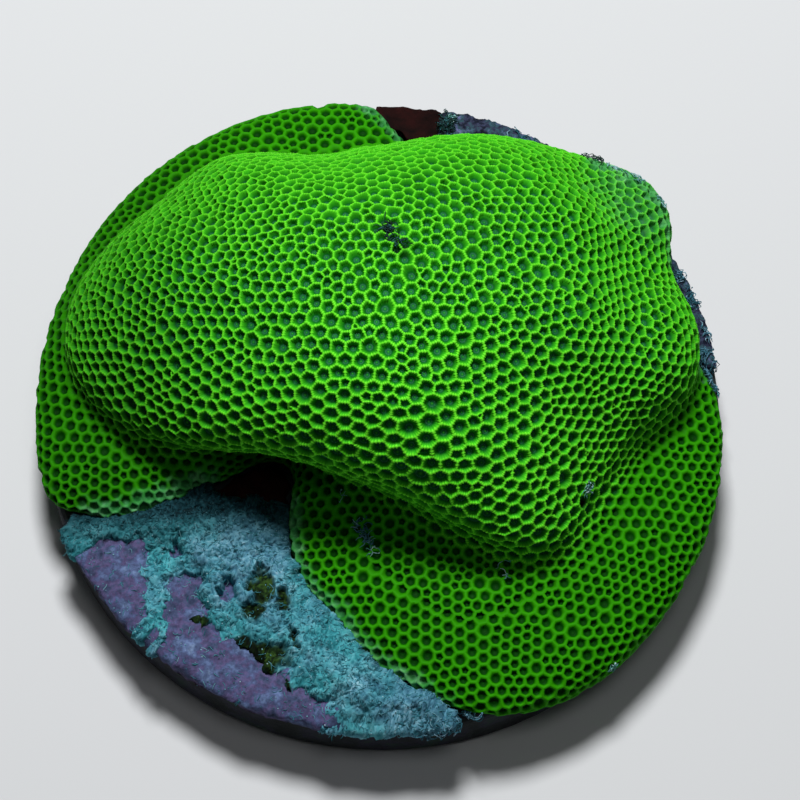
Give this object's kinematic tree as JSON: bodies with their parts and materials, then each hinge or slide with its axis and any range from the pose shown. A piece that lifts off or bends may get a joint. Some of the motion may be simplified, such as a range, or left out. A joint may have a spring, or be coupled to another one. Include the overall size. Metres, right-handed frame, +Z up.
{
  "type": "porites coral",
  "caption": "Domed Porites stony coral with tiny honeycomb corallites and an overhanging lip, grown over a round ceramic frag disc beside coralline crusts and algal turf.",
  "frame": {"origin": "centre of the disc's flat underside", "axes": "+Z up out of the disc, +X to the right, +Y to the back; the colony's overhanging lip faces -Y"},
  "size_m": [0.0511, 0.0503, 0.0212],
  "materials": {
    "living_coral": "matt, moist living tissue over fine honeycomb relief",
    "fired_ceramic": "matt, stained by films of algae",
    "purple_crust": "matt and finely lumpy",
    "red_crust": "matt, smooth",
    "algal_turf": "matt, tangled fine filaments"
  },
  "bodies": {
    "root": {"frag_disc": "fired_ceramic", "coral_colony": "living_coral", "coralline_crust_front": "purple_crust", "coralline_crust_side": "purple_crust", "coralline_crust_rear": "purple_crust", "red_crust_rear": "red_crust", "red_crust_front": "red_crust", "turf_mat_front": "algal_turf"}
  },
  "joints": []
}
